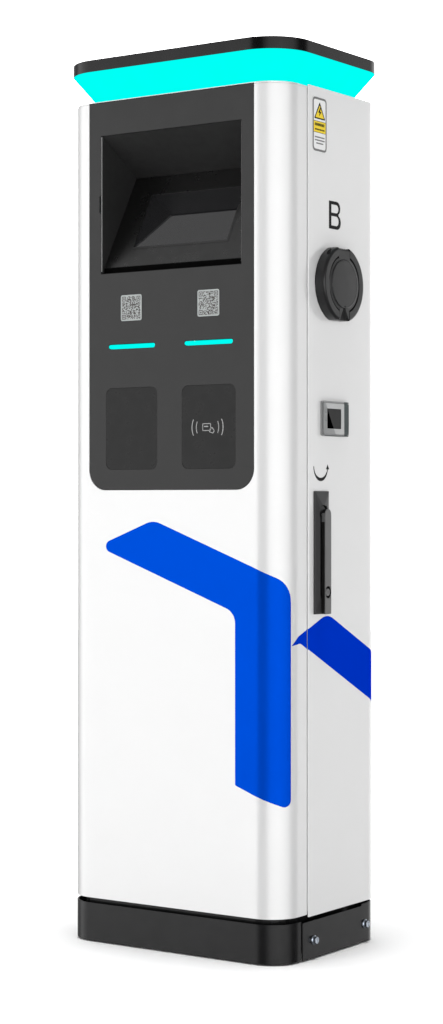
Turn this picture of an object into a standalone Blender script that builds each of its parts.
"""Charging post with two outlets: a folded steel body on a plinth, with a service door on its right side.

Metres, +Z up. The front faces -Y and +X is to the right. The origin is the centre of the footprint on the floor.
Pieces on the two sides are built once for the right side (+X) and mirrored for the left one.
"""
import math

import bmesh
import bpy
from mathutils import Matrix, Vector

# ---------------------------------------------------------------- driving dimensions
HEIGHT = 1.500
BODY_WIDTH = 0.4454
BODY_DEPTH = 0.305
FRONT_RADIUS = 0.0522
REAR_RADIUS = 0.035
SKIN = 0.0015                 # door and side panel sheet
SHELL_SHEET = 0.002           # front shell and plinth sheet
GAP = 0.0003                  # clearance between pieces that touch

HALF_WIDTH = BODY_WIDTH / 2
FRONT_Y = -BODY_DEPTH / 2
REAR_Y = BODY_DEPTH / 2

PLINTH_TOP = 0.066
SHELL_BOTTOM = 0.0747
SHELL_TOP = 1.4260
TOP_PLATE = 0.003
DOOR_BOTTOM = 0.0705
DOOR_TOP = 1.4315
SEAM_Y = FRONT_Y + 0.080      # where the front shell meets the door
SEAM = 0.0015
SHELL_HALF = HALF_WIDTH - SKIN            # the door skin stands proud of the shell by its own thickness
FLANGE = 0.015

CAP_THICKNESS = 0.020
CAP_HALF_WIDTH = 0.2335
CAP_HALF_DEPTH = 0.1625
CAP_FRONT_RADIUS = 0.0735
CAP_REAR_RADIUS = 0.0570
CAP_SHEET = 0.0025
CAP_BOTTOM = HEIGHT - CAP_THICKNESS
BAND_FOOT_HALF = 0.1935       # foot of the light band, where it meets the top plate
BAND_FOOT_FRONT = -0.1215
BAND_FOOT_REAR = 0.1332
BAND_FOOT_RADIUS = 0.0465
BAND_LIP = 0.0025             # upright lip under the cap
BAND_WALL = 0.003

PANEL_HALF = 0.169
PANEL_BOTTOM = 0.769
PANEL_CORNER = 0.035
PANEL_SHEET = 0.003
OPENING_HALF = 0.144
OPENING_BOTTOM = 1.1362
OPENING_TOP = 1.370

HOOD_WALL = 0.0025
CONSOLE_FOOT = (FRONT_Y + 0.0097, 1.1466)     # (y, z) of the screen console's lower edge
CONSOLE_HEAD = (FRONT_Y + 0.1007, 1.3104)     # (y, z) of its upper edge, at the back of the hood
SCREEN_HALF = 0.0966
SCREEN_START = 0.0387         # up the console's slope
SCREEN_LENGTH = 0.110
GLASS = 0.002

LABEL_X = 0.0792              # centre of each code label, light bar and card pad
CODE_LABEL = 0.0436
CODE_LABEL_Z = 1.0758
BAR_X = 0.0788
BAR_LENGTH = 0.0960
BAR_HEIGHT = 0.0072
BAR_Z = 1.0113
PAD_WIDTH = 0.1072
PAD_HEIGHT = 0.137
PAD_Z = 0.8725
PAD_CORNER = 0.012
PAD_RECESS = 0.0005

SOCKET_Y = 0.0095
SOCKET_Z = 1.1105
SOCKET_RADIUS = 0.0625
SOCKET_FLAT = 0.059           # half height between the housing's flats
SOCKET_PROUD = 0.019
SOCKET_BODY_RADIUS = 0.040
SOCKET_BODY_DEPTH = 0.058
SOCKET_MOUTH = 0.0335
SOCKET_MOUTH_DEPTH = 0.030
POCKET_RADIUS = 0.048         # shallow pocket that the lid closes into
POCKET_DEPTH = 0.004
LID_RADIUS = 0.0463
LID_DISC_RADIUS = 0.038
LID_HINGE_Z = SOCKET_Z + 0.0545
LID_HINGE_X = HALF_WIDTH + 0.0150
LID_TAB_HALF = 0.0172

WINDOW_Y = 0.0043
WINDOW_Z = 0.8868
WINDOW_WIDTH = 0.0807
WINDOW_HEIGHT = 0.0576
WINDOW_HINGE_Y = WINDOW_Y - 0.0376
WINDOW_HINGE_X = HALF_WIDTH + 0.0052
WINDOW_FLAP_HALF = 0.0015
BREAKER_BACK = HALF_WIDTH - 0.0705
BREAKER_SHOULDER = HALF_WIDTH - 0.0285
BREAKER_NOSE = HALF_WIDTH - 0.0060
TOGGLE_X = HALF_WIDTH - 0.0110

HANDLE_Y = -0.0355
HANDLE_BOTTOM = 0.5645
HANDLE_TOP = 0.7667
HANDLE_WIDTH = 0.044
HANDLE_PIVOT_Z = 0.7350
HANDLE_PIVOT_X = HALF_WIDTH + 0.0100
SHAFT_RADIUS = 0.0075
SHAFT_HOLE = 0.0085
LEVER_PIVOT_Z = 0.7402
LEVER_WIDTH = 0.0194
LEVER_FACE = HALF_WIDTH + 0.0135
LOCK_RADIUS = 0.0080
LOCK_Z = HANDLE_BOTTOM + 0.0360

SIDE_LABEL_Y = -0.0395
SIDE_LABEL_Z = 1.3700
SIDE_LABEL_WIDTH = 0.0435
SIDE_LABEL_HEIGHT = 0.0895

HINGE_X = 0.1650
HINGE_Y = REAR_Y + 0.0048
HINGE_RADIUS = 0.0045
HINGE_HEIGHTS = (0.220, 0.750, 1.280)
REAR_EDGE = HINGE_X + 0.001   # edge of the door's return on the back face

PLATE_X = -0.120              # mounting plate for the electrical gear
PLATE_SHEET = 0.002
RAIL_DEPTH = 0.0075
RAIL_HALF = 0.0175
RAIL_HEIGHTS = (0.300, 0.480, 0.660, 0.840)

COLOURS = {                   # slot: (red, green, blue, roughness, metallic)
    "white_paint": (0.90, 0.90, 0.90, 0.35, 0.0),
    "plinth_paint": (0.045, 0.046, 0.050, 0.45, 0.0),
    "cap_paint": (0.057, 0.057, 0.058, 0.45, 0.0),
    "panel_dark": (0.063, 0.063, 0.063, 0.30, 0.0),
    "pad_dark": (0.044, 0.044, 0.044, 0.40, 0.0),
    "light_guide": (0.0, 1.0, 0.91, 0.30, 0.0),
    "black_plastic": (0.030, 0.030, 0.031, 0.45, 0.0),
    "screen_glass": (0.004, 0.004, 0.005, 0.05, 0.0),
    "clear_cover": (0.70, 0.72, 0.72, 0.10, 0.0),
    "handle_grey": (0.075, 0.075, 0.077, 0.40, 0.0),
    "lever_grey": (0.30, 0.30, 0.30, 0.35, 0.0),
    "label": (0.75, 0.77, 0.72, 0.50, 0.0),
    "zinc": (0.62, 0.63, 0.65, 0.35, 1.0),
    "grey_plastic": (0.55, 0.56, 0.57, 0.50, 0.0),
    "dark_plastic": (0.05, 0.05, 0.055, 0.50, 0.0),
    "circuit_board": (0.02, 0.16, 0.07, 0.45, 0.0),
    "gland_rubber": (0.02, 0.02, 0.02, 0.70, 0.0),
}


# ---------------------------------------------------------------- outlines
def arc(centre, radius, start, end, steps):
    """Points of an arc, angles in degrees, both ends included."""
    points = []
    for step in range(steps + 1):
        angle = math.radians(start + (end - start) * step / steps)
        points.append((centre[0] + radius * math.cos(angle), centre[1] + radius * math.sin(angle)))
    return points


def rounded(low_a, high_a, low_b, high_b, radii, steps=5):
    """A rounded rectangle, anticlockwise. radii: corners at (high, low), (high, high), (low, high), (low, low)."""
    corners = ((high_a, low_b, -90, -1, 1), (high_a, high_b, 0, -1, -1),
               (low_a, high_b, 90, 1, -1), (low_a, low_b, 180, 1, 1))
    points = []
    for (a, b, start, side_a, side_b), radius in zip(corners, radii):
        if radius > 0:
            points += arc((a + side_a * radius, b + side_b * radius), radius, start, start + 90, steps)
        else:
            points.append((a, b))
    return points


def plan(half_width, front, rear, front_radius, rear_radius, steps=5):
    """The body's outline seen from above."""
    radii = (front_radius, rear_radius, rear_radius, front_radius)
    return rounded(-half_width, half_width, front, rear, radii, steps)


def stadium(centre_a, centre_b, length, height, steps=5):
    """A bar outline with round ends."""
    radius = height / 2
    reach = length / 2 - radius
    right = arc((centre_a + reach, centre_b), radius, -90, 90, 2 * steps)
    left = arc((centre_a - reach, centre_b), radius, 90, 270, 2 * steps)
    return right + left


def thicken(path, thickness):
    """A closed outline of a folded sheet: the path is its outer face and the sheet lies on the path's left."""
    inner = []
    for index, point in enumerate(path):
        here = Vector(point)
        before = (here - Vector(path[index - 1])).normalized() if index else None
        after = (Vector(path[index + 1]) - here).normalized() if index + 1 < len(path) else None
        before = before or after
        after = after or before
        normal = Vector((-before.y - after.y, before.x + after.x)).normalized()
        reach = thickness / normal.dot(Vector((-before.y, before.x)))
        inner.append(tuple(here + normal * reach))
    return list(path) + inner[::-1]


# ---------------------------------------------------------------- solids
AXES = {"x": (1, 2, 0), "y": (0, 2, 1), "z": (0, 1, 2)}      # the outline's two axes, then the extrusion's


def prism(outline, axis, low, high):
    """An outline extruded along an axis."""
    first, second, along = AXES[axis]
    mesh = bmesh.new()
    rings = []
    for level in (low, high):
        ring = []
        for a, b in outline:
            place = [0.0, 0.0, 0.0]
            place[first], place[second], place[along] = a, b, level
            ring.append(mesh.verts.new(place))
        rings.append(ring)
    mesh.faces.new(rings[0])
    mesh.faces.new(rings[1])
    count = len(outline)
    for index in range(count):
        after = (index + 1) % count
        mesh.faces.new((rings[0][index], rings[0][after], rings[1][after], rings[1][index]))
    bmesh.ops.recalc_face_normals(mesh, faces=mesh.faces)
    return mesh


def block(x, y, z):
    """A box from three (low, high) pairs."""
    return prism([(x[0], y[0]), (x[1], y[0]), (x[1], y[1]), (x[0], y[1])], "z", z[0], z[1])


def turned(profile, axis, centre, segments=24, ring=False):
    """A turned solid. profile: (radius, distance along the axis); ring closes the profile on itself."""
    mesh = bmesh.new()
    loops = []
    for radius, distance in profile:
        if radius == 0:
            loops.append([mesh.verts.new((0, 0, distance))])
            continue
        loop = []
        for step in range(segments):
            angle = 2 * math.pi * (step + 0.5) / segments
            loop.append(mesh.verts.new((radius * math.cos(angle), radius * math.sin(angle), distance)))
        loops.append(loop)
    pairs = list(zip(loops, loops[1:]))
    if ring:
        pairs.append((loops[-1], loops[0]))
    for one, two in pairs:
        for step in range(segments):
            after = (step + 1) % segments
            corners = [one[step % len(one)], one[after % len(one)], two[after % len(two)], two[step % len(two)]]
            mesh.faces.new(list(dict.fromkeys(corners)))
    bmesh.ops.recalc_face_normals(mesh, faces=mesh.faces)
    turns = {"x": Matrix(((0, 0, 1), (1, 0, 0), (0, 1, 0))), "y": Matrix(((1, 0, 0), (0, 0, 1), (0, -1, 0))),
             "z": Matrix.Identity(3)}
    bmesh.ops.transform(mesh, matrix=Matrix.Translation(centre) @ turns[axis].to_4x4(), verts=mesh.verts)
    return mesh


def cylinder(axis, centre, radius, low, high, segments=24):
    """A round bar from low to high along its axis, measured from its centre."""
    return turned([(0, low), (radius, low), (radius, high), (0, high)], axis, centre, segments)


def hull(points):
    """The convex solid around some points."""
    mesh = bmesh.new()
    for point in points:
        mesh.verts.new(point)
    bmesh.ops.convex_hull(mesh, input=mesh.verts)
    bmesh.ops.recalc_face_normals(mesh, faces=mesh.faces)
    return mesh


def joined(meshes):
    """Several separate bodies as one mesh."""
    whole = bmesh.new()
    for mesh in meshes:
        copy = bpy.data.meshes.new("copy")
        mesh.to_mesh(copy)
        mesh.free()
        whole.from_mesh(copy)
        bpy.data.meshes.remove(copy)
    return whole


def as_object(name, mesh):
    data = bpy.data.meshes.new(name)
    mesh.to_mesh(data)
    mesh.free()
    made = bpy.data.objects.new(name, data)
    bpy.context.scene.collection.objects.link(made)
    return made


def combine(target, mesh, operation):
    """Cuts a mesh out of an object, or welds it on, with an exact Boolean."""
    tool = as_object("tool", mesh)
    modifier = target.modifiers.new("combine", "BOOLEAN")
    modifier.operation = operation
    modifier.solver = "EXACT"
    modifier.object = tool
    graph = bpy.context.evaluated_depsgraph_get()
    result = bpy.data.meshes.new_from_object(target.evaluated_get(graph))
    target.modifiers.clear()
    target.data = result
    bpy.data.objects.remove(tool)


# ---------------------------------------------------------------- objects
MATERIALS = {}
PIVOTS = {}


def material(slot):
    if slot not in MATERIALS:
        red, green, blue, roughness, metallic = COLOURS[slot]
        made = bpy.data.materials.new(slot)
        made.use_nodes = True
        shader = made.node_tree.nodes["Principled BSDF"]
        shader.inputs["Base Color"].default_value = (red, green, blue, 1)
        shader.inputs["Roughness"].default_value = roughness
        shader.inputs["Metallic"].default_value = metallic
        MATERIALS[slot] = made
    return MATERIALS[slot]


def pivot(name, place, parent=None):
    """An empty on a joint's axis, which carries the pieces that move there."""
    empty = bpy.data.objects.new(name, None)
    bpy.context.scene.collection.objects.link(empty)
    empty.empty_display_size = 0.02
    start = PIVOTS[parent][1] if parent else Vector()
    if parent:
        empty.parent = PIVOTS[parent][0]
    empty.location = Vector(place) - start
    PIVOTS[name] = (empty, Vector(place))


def piece(name, slot, mesh, cuts=(), welds=(), side=1, carried_by=None):
    """One named sub-part. side -1 mirrors it to the left; carried_by names the pivot that it moves with."""
    made = as_object(name, mesh)
    for weld in welds:
        combine(made, weld, "UNION")
    for cut in cuts:
        combine(made, cut, "DIFFERENCE")
    if side < 0:
        made.data.transform(Matrix.Scale(-1, 4, (1, 0, 0)))
        made.data.flip_normals()
    made.data.materials.clear()
    made.data.materials.append(material(slot))
    made.data.shade_smooth()
    made.data.set_sharp_from_angle(angle=math.radians(32))
    if carried_by:
        empty, place = PIVOTS[carried_by]
        made.data.transform(Matrix.Translation(-place))
        made.parent = empty
    return made


def side_name(base, side):
    return base + ("_right" if side > 0 else "_left")


# ---------------------------------------------------------------- plinth
def build_plinth():
    ring_half = HALF_WIDTH - FLANGE - 0.0015
    ring_front = FRONT_Y + 0.0110
    ring_rear = REAR_Y - 0.0110
    wall = 0.004
    floor_plate = 0.008
    tray = prism(plan(ring_half, ring_front, ring_rear, 0.042, 0.028), "z", 0.0, SHELL_BOTTOM - GAP)
    hollow = prism(plan(ring_half - wall, ring_front + wall, ring_rear - wall, 0.038, 0.024),
                   "z", floor_plate, 0.1)
    cable_hole = prism(plan(0.100, -0.060, 0.060, 0.012, 0.012), "z", -0.01, 0.05)
    piece("base_frame", "plinth_paint", tray, cuts=(hollow, cable_hole))

    half = HALF_WIDTH - 0.0010
    front_return = FRONT_Y + 0.0600
    rear_return = REAR_Y - 0.0575
    path = [(half, front_return)]
    path += arc((half - FRONT_RADIUS, FRONT_Y + FRONT_RADIUS), FRONT_RADIUS, 0, -90, 6)
    path += arc((-half + FRONT_RADIUS, FRONT_Y + FRONT_RADIUS), FRONT_RADIUS, -90, -180, 6)
    path += [(-half, front_return)]
    piece("plinth_front_cover", "plinth_paint", prism(thicken(path, -SHELL_SHEET), "z", 0.002, PLINTH_TOP))

    path = [(half, rear_return)]
    path += arc((half - REAR_RADIUS, REAR_Y - REAR_RADIUS), REAR_RADIUS, 0, 90, 5)
    path += arc((-half + REAR_RADIUS, REAR_Y - REAR_RADIUS), REAR_RADIUS, 90, 180, 5)
    path += [(-half, rear_return)]
    piece("plinth_rear_cover", "plinth_paint", prism(thicken(path, SHELL_SHEET), "z", 0.002, PLINTH_TOP))

    proud = HALF_WIDTH + 0.0010
    for side in (1, -1):
        plate = block((proud - SHELL_SHEET, proud), (front_return + 0.001, rear_return - 0.001), (0.002, 0.0635))
        piece(side_name("plinth_cover", side), "plinth_paint", plate, side=side)
        build_bolt(side_name("plinth_bolt_front", side), proud + GAP, FRONT_Y + 0.0940, side)
        build_bolt(side_name("plinth_bolt_rear", side), half + GAP, REAR_Y - 0.0456, side)


def build_bolt(name, seat, y, side):
    """A hexagon bolt with its washer, screwed in from the side."""
    centre = (seat, y, 0.0312)
    washer = cylinder("x", centre, 0.0085, 0, 0.0015, 16)
    head = cylinder("x", centre, 0.0068, 0.0010, 0.0066, 6)
    piece(name, "zinc", washer, welds=(head,), side=side)


# ---------------------------------------------------------------- body
def build_body_shell():
    inner_half = SHELL_HALF - SHELL_SHEET - GAP
    inner_front = FRONT_Y + SHELL_SHEET + GAP
    floor_top = SHELL_BOTTOM + 0.003
    gland_hole = block((-0.070, 0.070), (-0.045, 0.045), (0.05, 0.10))
    floor_plan = plan(inner_half, inner_front, REAR_Y - SKIN - 0.001, FRONT_RADIUS - 0.002, REAR_RADIUS - 0.002)
    piece("body_floor", "zinc", prism(floor_plan, "z", SHELL_BOTTOM, floor_top), cuts=(gland_hole,))

    plate_top = floor_top + GAP + 0.002
    piece("gland_plate", "zinc", block((-0.080, 0.080), (-0.055, 0.055), (floor_top + GAP, plate_top)))
    nut = cylinder("z", (0, 0, 0), 0.026, plate_top + GAP, plate_top + 0.014, 6)
    collar = cylinder("z", (0, 0, 0), 0.020, plate_top + 0.013, plate_top + 0.034, 16)
    piece("cable_gland", "gland_rubber", nut, welds=(collar,))

    edge = SEAM_Y - SEAM
    path = [(SHELL_HALF - FLANGE, edge), (SHELL_HALF, edge)]
    path += arc((SHELL_HALF - FRONT_RADIUS, FRONT_Y + FRONT_RADIUS), FRONT_RADIUS, 0, -90, 8)
    path += arc((-SHELL_HALF + FRONT_RADIUS, FRONT_Y + FRONT_RADIUS), FRONT_RADIUS, -90, -180, 8)
    path += [(-SHELL_HALF, edge), (-SHELL_HALF + FLANGE, edge)]
    shell = prism(thicken(path, -SHELL_SHEET), "z", SHELL_BOTTOM, SHELL_TOP - GAP)
    radii = (PANEL_CORNER, 0, 0, PANEL_CORNER)
    panel_cut = rounded(-PANEL_HALF - GAP, PANEL_HALF + GAP, PANEL_BOTTOM - GAP, HEIGHT, radii, 6)
    cuts = [prism(panel_cut, "y", FRONT_Y - 0.01, FRONT_Y + 0.01)]
    latch_mouth = (HANDLE_PIVOT_Z - 0.012, HANDLE_PIVOT_Z + 0.012)
    cuts.append(block((SHELL_HALF - FLANGE - 0.01, SHELL_HALF - 0.0045), (edge - 0.01, edge + 0.01), latch_mouth))
    for side in (1, -1):
        flange = sorted((side * (SHELL_HALF - FLANGE - 0.01), side * (SHELL_HALF - SHELL_SHEET)))
        cuts.append(block(flange, (edge - 0.01, edge + 0.01), (SHELL_BOTTOM - 0.01, floor_top + GAP)))
    piece("front_shell", "white_paint", shell, cuts=cuts)

    top = plan(SHELL_HALF - 0.0007, FRONT_Y, REAR_Y - SKIN - 0.0005, FRONT_RADIUS, REAR_RADIUS - SKIN, 6)
    piece("top_plate", "white_paint", prism(top, "z", SHELL_TOP, SHELL_TOP + TOP_PLATE))


def side_skin_outline():
    """The door, and the fixed panel on the other side: inward flange, flat side, round rear corner, return."""
    path = [(HALF_WIDTH - FLANGE, SEAM_Y), (HALF_WIDTH, SEAM_Y)]
    path += arc((HALF_WIDTH - REAR_RADIUS, REAR_Y - REAR_RADIUS), REAR_RADIUS, 0, 90, 6)
    path += [(REAR_EDGE, REAR_Y)]
    return thicken(path, SKIN)


def build_side_skin(side):
    """The door skin on the right and its fixed twin on the left, with holes for what they carry."""
    skin = prism(side_skin_outline(), "z", DOOR_BOTTOM, DOOR_TOP)
    reach = (HALF_WIDTH - 0.008, HALF_WIDTH + 0.010)
    cuts = [cylinder("x", (HALF_WIDTH, SOCKET_Y, SOCKET_Z), SOCKET_BODY_RADIUS + 0.001, -0.008, 0.01, 24)]
    cuts.append(block(reach, (WINDOW_Y - 0.031, WINDOW_Y + 0.031), (WINDOW_Z - 0.021, WINDOW_Z + 0.021)))
    inside = (HALF_WIDTH - FLANGE - 0.01, HALF_WIDTH - SKIN)
    across = (SEAM_Y - 0.01, SEAM_Y + 0.01)
    cuts.append(block(inside, across, (DOOR_BOTTOM - 0.01, SHELL_BOTTOM + 0.0045)))
    cuts.append(block(inside, across, (SHELL_TOP - 0.0015, DOOR_TOP + 0.01)))
    if side > 0:
        cuts.append(cylinder("x", (HALF_WIDTH, HANDLE_Y, HANDLE_PIVOT_Z), SHAFT_HOLE, -0.008, 0.01, 16))
        piece("door_skin", "white_paint", skin, cuts=cuts, carried_by="door")
    else:
        piece("left_panel", "white_paint", skin, cuts=cuts, side=side)


def build_rear_panel():
    edge = HINGE_X - 0.001
    panel = block((-edge, edge), (REAR_Y - SKIN, REAR_Y), (DOOR_BOTTOM, DOOR_TOP))
    slots = []
    for centre in (0.190, 1.310):
        for row in range(-2, 3):
            z = centre + 0.016 * row
            slots.append(block((-0.060, 0.060), (REAR_Y - 0.01, REAR_Y + 0.01), (z - 0.0025, z + 0.0025)))
    piece("rear_panel", "white_paint", panel, cuts=(joined(slots),))


def build_frame():
    """The welded frame inside: four posts and a ring of rails under the top plate."""
    post = 0.016
    low = SHELL_BOTTOM + 0.003 + GAP
    high = SHELL_TOP - GAP
    right = 0.185
    rear_right = 0.160
    front = -0.100
    rear = 0.148
    corners = ((right - post, front), (-right, front), (-right, rear - post), (rear_right - post, rear - post))
    posts = [block((x, x + post), (y, y + post), (low, high)) for x, y in corners]
    ring = (high - post, high)
    rails = [block((-right + 0.001, right - 0.001), (front + 0.001, front + post - 0.001), ring)]
    rails.append(block((-right + 0.001, rear_right - 0.001), (rear - post + 0.001, rear - 0.001), ring))
    rails.append(block((-right + 0.0005, -right + post - 0.0015), (front + 0.004, rear - 0.004), ring))
    rails.append(block((rear_right - post + 0.0015, rear_right - 0.0005), (front + 0.005, rear - 0.005), ring))
    piece("inner_frame", "zinc", posts[0], welds=posts[1:] + rails)


# ---------------------------------------------------------------- front panel and display
def build_front_panel():
    radii = (PANEL_CORNER, 0, 0, PANEL_CORNER)
    outline = rounded(-PANEL_HALF, PANEL_HALF, PANEL_BOTTOM, SHELL_TOP - GAP, radii, 6)
    back = FRONT_Y + PANEL_SHEET
    through = (FRONT_Y - 0.01, FRONT_Y + 0.01)
    opening = block((-OPENING_HALF, OPENING_HALF), through, (OPENING_BOTTOM, OPENING_TOP))
    cuts = [opening]
    for side in (-1, 1):
        slot = stadium(side * BAR_X, BAR_Z, BAR_LENGTH + 2 * GAP, BAR_HEIGHT + 2 * GAP)
        cuts.append(prism(slot, "y", through[0], through[1]))
        cuts.append(prism(pad_outline(side, GAP), "y", through[0], through[1]))
    piece("front_panel", "panel_dark", prism(outline, "y", FRONT_Y, back), cuts=cuts)

    for side in (-1, 1):
        bar = prism(stadium(side * BAR_X, BAR_Z, BAR_LENGTH, BAR_HEIGHT), "y", FRONT_Y - 0.0005, back + 0.006)
        piece(side_name("status_light", side), "light_guide", bar)
        start = FRONT_Y + PAD_RECESS
        pad = prism(pad_outline(side, 0), "y", start, start + PANEL_SHEET)
        piece(side_name("card_pad", side), "pad_dark", pad)
        middle = side * LABEL_X
        reach = CODE_LABEL / 2
        label = rounded(middle - reach, middle + reach, CODE_LABEL_Z - reach, CODE_LABEL_Z + reach, (0.004,) * 4, 3)
        label = prism(label, "y", FRONT_Y - GAP - 0.0005, FRONT_Y - GAP)
        piece(side_name("code_label", side), "label", label)
    board_y = back + PAD_RECESS + GAP
    board = block((-0.128, 0.128), (board_y, board_y + 0.010), (PAD_Z - 0.060, PAD_Z + 0.060))
    piece("card_reader_board", "circuit_board", board)


def pad_outline(side, grow):
    middle = side * LABEL_X
    half = PAD_WIDTH / 2 + grow
    tall = PAD_HEIGHT / 2 + grow
    return rounded(middle - half, middle + half, PAD_Z - tall, PAD_Z + tall, (PAD_CORNER,) * 4, 4)


def on_console(x, up, out):
    """A slab on the console's slope: up along the slope from its foot, out towards the viewer."""
    slope = math.atan2(CONSOLE_HEAD[1] - CONSOLE_FOOT[1], CONSOLE_HEAD[0] - CONSOLE_FOOT[0])
    slab = block(x, up, out)
    turn = Matrix.Translation((0, CONSOLE_FOOT[0], CONSOLE_FOOT[1])) @ Matrix.Rotation(slope, 4, "X")
    bmesh.ops.transform(slab, matrix=turn, verts=slab.verts)
    return slab


def build_display():
    """The funnel-shaped hood behind the panel's opening, with the screen in its sloping console."""
    start = FRONT_Y + PANEL_SHEET + GAP
    foot_y, foot_z = CONSOLE_FOOT
    head_y, head_z = CONSOLE_HEAD
    wall = HOOD_WALL
    inside = [(start - 0.01, OPENING_TOP), (start, OPENING_TOP), (head_y, head_z), (foot_y, foot_z),
              (foot_y, OPENING_BOTTOM), (start - 0.01, OPENING_BOTTOM)]
    outside = [(start, OPENING_TOP + wall), (head_y + 2 * wall, head_z + 1.2 * wall),
               (foot_y + wall, foot_z - wall / 2), (foot_y + wall, OPENING_BOTTOM - wall),
               (start, OPENING_BOTTOM - wall)]
    shell = prism(outside, "x", -OPENING_HALF - wall, OPENING_HALF + wall)
    cavity = prism(inside, "x", -OPENING_HALF, OPENING_HALF)
    screen_up = (SCREEN_START, SCREEN_START + SCREEN_LENGTH)
    grown = (screen_up[0] - GAP, screen_up[1] + GAP)
    screen_hole = on_console((-SCREEN_HALF - GAP, SCREEN_HALF + GAP), grown, (-0.012, 0.003))
    piece("display_hood", "black_plastic", shell, cuts=(cavity, screen_hole))
    piece("display_glass", "screen_glass", on_console((-SCREEN_HALF, SCREEN_HALF), screen_up, (-GLASS, 0)))
    module_up = (screen_up[0] - 0.004, screen_up[1] + 0.004)
    module = on_console((-SCREEN_HALF - 0.004, SCREEN_HALF + 0.004), module_up, (-0.020, -0.0062))
    piece("display_module", "dark_plastic", module)


# ---------------------------------------------------------------- light band and cap
def ring_solid(loops):
    """A closed band through loops that all have the same number of points, the last joined to the first."""
    mesh = bmesh.new()
    rings = [[mesh.verts.new((x, y, z)) for x, y in outline] for outline, z in loops]
    for one, two in zip(rings, rings[1:] + rings[:1]):
        for index in range(len(one)):
            after = (index + 1) % len(one)
            mesh.faces.new((one[index], one[after], two[after], two[index]))
    bmesh.ops.recalc_face_normals(mesh, faces=mesh.faces)
    return mesh


def cap_plan(inset):
    reach = CAP_HALF_DEPTH - inset
    front_radius = CAP_FRONT_RADIUS - inset
    return plan(CAP_HALF_WIDTH - inset, -reach, reach, front_radius, CAP_REAR_RADIUS - inset, 6)


def foot_plan(inset):
    radius = BAND_FOOT_RADIUS
    return plan(BAND_FOOT_HALF - inset, BAND_FOOT_FRONT + inset, BAND_FOOT_REAR - inset, radius, radius, 6)


def build_light_head():
    foot_z = SHELL_TOP + TOP_PLATE + GAP
    lip_z = CAP_BOTTOM - BAND_LIP
    head_z = HEIGHT - CAP_SHEET - GAP
    edge = CAP_SHEET + 0.0005
    inner = edge + BAND_WALL
    loops = [(foot_plan(0), foot_z), (cap_plan(edge), lip_z), (cap_plan(edge), head_z),
             (cap_plan(inner), head_z), (cap_plan(inner), lip_z + 0.001), (foot_plan(0.004), foot_z)]
    piece("light_band", "light_guide", ring_solid(loops))

    tray = prism(cap_plan(0), "z", CAP_BOTTOM, HEIGHT)
    piece("top_cap", "cap_paint", tray, cuts=(prism(cap_plan(CAP_SHEET), "z", 0, HEIGHT - CAP_SHEET),))

    low = SHELL_TOP + TOP_PLATE + GAP
    board = block((-0.165, 0.165), (-0.100, 0.100), (low, low + 0.002))
    middle = block((-0.145, 0.145), (-0.080, 0.080), (low - 0.01, low + 0.01))
    piece("led_board", "circuit_board", board, cuts=(middle,))


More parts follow.
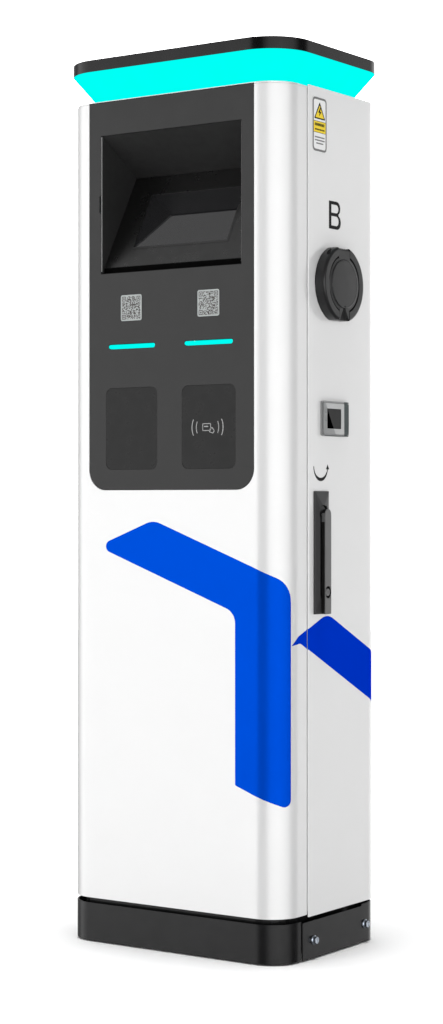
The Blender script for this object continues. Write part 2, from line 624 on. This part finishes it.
# ---------------------------------------------------------------- outlets
def build_socket(side, skin_pivot):
    """A round outlet housing with flats, its contact insert, and the lid that hinges at the top."""
    face = HALF_WIDTH
    centre = (face, SOCKET_Y, SOCKET_Z)
    profile = [(0, -SOCKET_BODY_DEPTH), (SOCKET_BODY_RADIUS, -SOCKET_BODY_DEPTH), (SOCKET_BODY_RADIUS, GAP),
               (SOCKET_RADIUS, GAP), (SOCKET_RADIUS, SOCKET_PROUD - 0.0025),
               (SOCKET_RADIUS - 0.0025, SOCKET_PROUD), (POCKET_RADIUS, SOCKET_PROUD),
               (POCKET_RADIUS, SOCKET_PROUD - POCKET_DEPTH), (SOCKET_MOUTH, SOCKET_PROUD - POCKET_DEPTH),
               (SOCKET_MOUTH, -SOCKET_MOUTH_DEPTH), (0, -SOCKET_MOUTH_DEPTH)]
    housing = turned(profile, "x", centre, 32)
    cuts = []
    for sign in (-1, 1):
        beyond = sorted((SOCKET_Z + sign * SOCKET_FLAT, SOCKET_Z + sign * 0.08))
        cuts.append(block((face - 0.001, face + 0.03), (SOCKET_Y - 0.08, SOCKET_Y + 0.08), beyond))
    hinge_notch = (SOCKET_Y - LID_TAB_HALF - GAP, SOCKET_Y + LID_TAB_HALF + GAP)
    cuts.append(block((LID_HINGE_X - 0.0045, face + 0.03), hinge_notch, (SOCKET_Z + 0.041, SOCKET_Z + 0.07)))
    grip_notch = (SOCKET_Y - 0.0165, SOCKET_Y + 0.0165)
    floor = face + SOCKET_PROUD - POCKET_DEPTH
    cuts.append(block((floor, face + 0.03), grip_notch, (SOCKET_Z - 0.07, SOCKET_Z - 0.041)))
    piece(side_name("socket_housing", side), "black_plastic", housing, cuts, (), side, skin_pivot)

    island = cylinder("x", centre, 0.025, -SOCKET_MOUTH_DEPTH + GAP, 0.008, 24)
    across = (SOCKET_Y - 0.03, SOCKET_Y + 0.03)
    keyway = block((face - 0.05, face + 0.02), across, (SOCKET_Z + 0.019, SOCKET_Z + 0.03))
    holes = []
    contacts = [(-0.0065, 0.0125, 0.0022), (0.0065, 0.0125, 0.0022), (-0.0155, 0.0, 0.0034), (0.0, 0.0, 0.0034),
                (0.0155, 0.0, 0.0034), (-0.0080, -0.0135, 0.0034), (0.0080, -0.0135, 0.0034)]
    for y, z, radius in contacts:
        holes.append(cylinder("x", (face, SOCKET_Y + y, SOCKET_Z + z), radius, -0.010, 0.02, 8))
    cuts = (keyway, joined(holes))
    piece(side_name("socket_insert", side), "dark_plastic", island, cuts, (), side, skin_pivot)

    lid_pivot = side_name("socket_lid", side) + "_pivot"
    pivot(lid_pivot, (side * LID_HINGE_X, SOCKET_Y, LID_HINGE_Z), skin_pivot)
    seat = SOCKET_PROUD - POCKET_DEPTH + GAP
    disc = turned([(0, seat), (LID_RADIUS, seat), (LID_RADIUS, SOCKET_PROUD - 0.0008),
                   (LID_DISC_RADIUS + 0.001, SOCKET_PROUD), (LID_DISC_RADIUS - 0.0015, SOCKET_PROUD + 0.0012),
                   (0, SOCKET_PROUD + 0.0018)], "x", centre, 32)
    tab = block((face + seat, face + SOCKET_PROUD - 0.0005), (SOCKET_Y - LID_TAB_HALF, SOCKET_Y + LID_TAB_HALF),
                (SOCKET_Z + 0.038, LID_HINGE_Z + 0.0012))
    knuckle = turned([(0, -LID_TAB_HALF), (0.0036, -LID_TAB_HALF), (0.0036, LID_TAB_HALF), (0, LID_TAB_HALF)],
                     "y", (LID_HINGE_X, SOCKET_Y, LID_HINGE_Z), 12)
    grip_end = SOCKET_Z - 0.0575
    grip = block((face + seat, face + SOCKET_PROUD - 0.0005), (SOCKET_Y - 0.0155, SOCKET_Y + 0.0155),
                 (grip_end, SOCKET_Z - 0.040))
    flat = face + SOCKET_PROUD - 0.001
    wedge = hull([(flat, SOCKET_Y - 0.013, grip_end), (flat, SOCKET_Y + 0.013, grip_end),
                  (flat, SOCKET_Y, SOCKET_Z - 0.037), (flat + 0.0075, SOCKET_Y, grip_end)])
    piece(side_name("socket_lid", side), "black_plastic", disc, (), (tab, knuckle, grip, wedge), side, lid_pivot)


# ---------------------------------------------------------------- breaker windows
def build_window(side, skin_pivot):
    """A framed window with a clear hinged flap; the breaker behind it has a moving toggle."""
    face = HALF_WIDTH
    low_y = WINDOW_Y - WINDOW_WIDTH / 2
    high_y = WINDOW_Y + WINDOW_WIDTH / 2
    tall = WINDOW_HEIGHT / 2
    floor = WINDOW_HINGE_X - WINDOW_FLAP_HALF - 0.0004
    top = WINDOW_HINGE_X + WINDOW_FLAP_HALF
    outline = rounded(low_y, high_y, WINDOW_Z - tall, WINDOW_Z + tall, (0.005,) * 4, 3)
    pocket = block((floor, top + 0.01), (low_y - 0.01, high_y + 0.01), (WINDOW_Z - 0.0263, WINDOW_Z + 0.0263))
    opening = block((face - 0.01, top + 0.01), (WINDOW_Y - 0.030, WINDOW_Y + 0.030),
                    (WINDOW_Z - 0.020, WINDOW_Z + 0.020))
    frame = prism(outline, "x", face + GAP, top)
    piece(side_name("window_frame", side), "grey_plastic", frame, (pocket, opening), (), side, skin_pivot)

    flap_pivot = side_name("window_flap", side) + "_pivot"
    pivot(flap_pivot, (side * WINDOW_HINGE_X, WINDOW_HINGE_Y, WINDOW_Z), skin_pivot)
    end = high_y - 0.001
    outline = [(top, end), (WINDOW_HINGE_X - WINDOW_FLAP_HALF, end)]
    outline += arc((WINDOW_HINGE_X, WINDOW_HINGE_Y), WINDOW_FLAP_HALF, 180, 360, 6)
    flap = prism(outline, "z", WINDOW_Z - 0.0258, WINDOW_Z + 0.0258)
    piece(side_name("window_flap", side), "clear_cover", flap, (), (), side, flap_pivot)

    tall = 0.0425
    nose = 0.0180
    body = [(BREAKER_BACK, -tall), (BREAKER_SHOULDER, -tall), (BREAKER_SHOULDER, -nose), (BREAKER_NOSE, -nose),
            (BREAKER_NOSE, nose), (BREAKER_SHOULDER, nose), (BREAKER_SHOULDER, tall), (BREAKER_BACK, tall)]
    outline = [(x, WINDOW_Z + z) for x, z in body]
    breaker = prism(outline, "y", WINDOW_Y - 0.027, WINDOW_Y + 0.027)
    across = (WINDOW_Y - 0.006, WINDOW_Y + 0.006)
    slot = block((BREAKER_NOSE - 0.0145, HALF_WIDTH), across, (WINDOW_Z - 0.013, WINDOW_Z + 0.013))
    piece(side_name("breaker", side), "grey_plastic", breaker, (slot,), (), side, skin_pivot)

    toggle_pivot = side_name("breaker_toggle", side) + "_pivot"
    pivot(toggle_pivot, (side * TOGGLE_X, WINDOW_Y, WINDOW_Z), skin_pivot)
    hub = cylinder("y", (TOGGLE_X, WINDOW_Y, WINDOW_Z), 0.0055, -0.0055, 0.0055, 12)
    tip = block((0.003, 0.0120), (-0.0055, 0.0055), (-0.0015, 0.0015))
    lean = Matrix.Translation((TOGGLE_X, WINDOW_Y, WINDOW_Z)) @ Matrix.Rotation(math.radians(-25), 4, "Y")
    bmesh.ops.transform(tip, matrix=lean, verts=tip.verts)
    piece(side_name("breaker_toggle", side), "dark_plastic", hub, (), (tip,), side, toggle_pivot)


# ---------------------------------------------------------------- door furniture
def build_hinge():
    """A long hinge on the back seam: three fixed knuckles, each between two door knuckles that share a pin."""
    leaf = (REAR_Y + GAP, REAR_Y + 0.0018)
    strip = (HINGE_HEIGHTS[0] - 0.060, HINGE_HEIGHTS[-1] + 0.060)
    sleeves = []
    pins = []
    for height in HINGE_HEIGHTS:
        centre = (HINGE_X, HINGE_Y, height)
        sleeve = [(0.0023, -0.012), (HINGE_RADIUS, -0.012), (HINGE_RADIUS, 0.012), (0.0023, 0.012)]
        sleeves.append(turned(sleeve, "z", centre, 16, ring=True))
        sleeves.append(block((HINGE_X - 0.010, HINGE_X - 0.0010), leaf, (height - 0.012, height + 0.012)))
        pins.append(turned([(0, -0.034), (HINGE_RADIUS, -0.034), (HINGE_RADIUS, -0.0125), (0.0021, -0.0125),
                            (0.0021, 0.0125), (HINGE_RADIUS, 0.0125), (HINGE_RADIUS, 0.034), (0, 0.034)],
                           "z", centre, 16))
        for low, high in ((-0.034, -0.0125), (0.0125, 0.034)):
            pins.append(block((HINGE_X + 0.0010, HINGE_X + 0.010), leaf, (height + low, height + high)))
    fixed_strip = block((HINGE_X - 0.026, HINGE_X - 0.0055), leaf, strip)
    door_strip = block((HINGE_X + 0.0055, HINGE_X + 0.022), leaf, strip)
    piece("hinge_leaf_fixed", "zinc", fixed_strip, welds=sleeves)
    piece("hinge_leaf_door", "zinc", door_strip, welds=pins, carried_by="door")


def build_handle():
    """The swing handle: a faceted dish on the door, a hub that turns the latch, a lever and a lock."""
    face = HALF_WIDTH
    half = HANDLE_WIDTH / 2
    edge = face + 0.0030
    ridge = face + 0.0064
    ridges = ((0.010, 0.032), (0.003, 0.022))        # half width, distance from the dish's ends
    points = []
    for y in (HANDLE_Y - half, HANDLE_Y + half):
        for z in (HANDLE_BOTTOM, HANDLE_TOP):
            points += [(face + GAP, y, z), (edge, y, z)]
    for ridge_half, end in ridges:
        for y in (HANDLE_Y - ridge_half, HANDLE_Y + ridge_half):
            for z in (HANDLE_BOTTOM + end, HANDLE_TOP - end):
                points.append((ridge, y, z))
    well = stadium(HANDLE_PIVOT_Z - 0.068, HANDLE_Y, 0.160, 0.0205)
    channel = prism([(a, b) for b, a in well], "x", face + 0.0035, face + 0.02)
    shaft_hole = cylinder("x", (face, HANDLE_Y, HANDLE_PIVOT_Z), SHAFT_HOLE, -0.01, 0.02, 16)
    piece("handle_dish", "handle_grey", hull(points), cuts=(channel, shaft_hole), carried_by="door")

    pivot("handle_turn_pivot", (HANDLE_PIVOT_X, HANDLE_Y, HANDLE_PIVOT_Z), "door")
    shaft = cylinder("x", (face, HANDLE_Y, HANDLE_PIVOT_Z), SHAFT_RADIUS, -0.030, 0.0045, 16)
    cam_outline = stadium(HANDLE_Y - 0.01475, HANDLE_PIVOT_Z, 0.0485, 0.020, 3)
    cam = prism(cam_outline, "x", face - 0.0260, face - 0.0220)
    piece("handle_hub", "handle_grey", shaft, welds=(cam,), carried_by="handle_turn_pivot")

    pivot("lever_pivot", (HANDLE_PIVOT_X, HANDLE_Y, LEVER_PIVOT_Z), "handle_turn_pivot")
    reach = (HANDLE_PIVOT_Z + 0.0085, HANDLE_BOTTOM)
    underside = face + 0.0068
    half = LEVER_WIDTH / 2
    outline = arc((HANDLE_Y, reach[0] - half), half, 0, 180, 8)
    outline += [(HANDLE_Y - half, reach[1]), (HANDLE_Y + half, reach[1])]
    seat = cylinder("x", (LEVER_FACE, HANDLE_Y, LOCK_Z), LOCK_RADIUS + 0.0004, -0.0025, 0.01, 16)
    bar = prism(outline, "x", underside, LEVER_FACE)
    piece("handle_lever", "lever_grey", bar, cuts=(seat,), carried_by="lever_pivot")

    pivot("lock_cylinder_pivot", (LEVER_FACE, HANDLE_Y, LOCK_Z), "lever_pivot")
    lock = cylinder("x", (LEVER_FACE, HANDLE_Y, LOCK_Z), LOCK_RADIUS, -0.0022, 0.0004, 16)
    piece("lock_cylinder", "handle_grey", lock, carried_by="lock_cylinder_pivot")


def build_side_label(side, skin_pivot):
    half = SIDE_LABEL_WIDTH / 2
    tall = SIDE_LABEL_HEIGHT / 2
    outline = rounded(SIDE_LABEL_Y - half, SIDE_LABEL_Y + half, SIDE_LABEL_Z - tall, SIDE_LABEL_Z + tall,
                      (0.004,) * 4, 3)
    plate = prism(outline, "x", HALF_WIDTH + GAP, HALF_WIDTH + 0.0008)
    piece(side_name("hazard_label", side), "label", plate, (), (), side, skin_pivot)


# ---------------------------------------------------------------- electrical gear
def rail_gear(name, slot, low_y, high_y, z, height, depth):
    """A rail-mounted device: a deep body with a shallower nose, as modular gear has."""
    back = PLATE_X + PLATE_SHEET + RAIL_DEPTH + GAP
    shoulder = back + depth * 0.72
    front = back + depth
    half = height / 2
    nose = half * 0.52
    outline = [(back, z - half), (shoulder, z - half), (shoulder, z - nose), (front, z - nose),
               (front, z + nose), (shoulder, z + nose), (shoulder, z + half), (back, z + half)]
    piece(name, slot, prism(outline, "y", low_y, high_y))


def build_gear():
    plate = (PLATE_X, PLATE_X + PLATE_SHEET)
    rail_x = (PLATE_X + PLATE_SHEET / 2, PLATE_X + PLATE_SHEET + RAIL_DEPTH)
    rails = []
    for height in RAIL_HEIGHTS:
        rails.append(block(rail_x, (-0.040, 0.120), (height - RAIL_HALF, height + RAIL_HALF)))
    piece("mounting_plate", "zinc", block(plate, (-0.045, 0.125), (0.130, 1.020)), welds=rails)
    low, mid_low, mid_high, high = RAIL_HEIGHTS
    rail_gear("terminal_block", "grey_plastic", -0.035, 0.115, low, 0.055, 0.048)
    rail_gear("energy_meter", "grey_plastic", -0.030, 0.096, mid_low, 0.090, 0.062)
    rail_gear("contactor_left", "dark_plastic", -0.035, 0.030, mid_high, 0.086, 0.070)
    rail_gear("contactor_right", "dark_plastic", 0.042, 0.107, mid_high, 0.086, 0.070)
    rail_gear("charge_controller", "dark_plastic", -0.035, 0.115, high, 0.110, 0.055)


# ---------------------------------------------------------------- build
def build():
    for old in list(bpy.data.objects):
        bpy.data.objects.remove(old)
    pivot("door", (HINGE_X, HINGE_Y, 0))
    build_plinth()
    build_body_shell()
    build_rear_panel()
    build_frame()
    build_front_panel()
    build_display()
    build_light_head()
    for side, skin_pivot in ((1, "door"), (-1, None)):
        build_side_skin(side)
        build_socket(side, skin_pivot)
        build_window(side, skin_pivot)
        build_side_label(side, skin_pivot)
    build_hinge()
    build_handle()
    build_gear()


build()
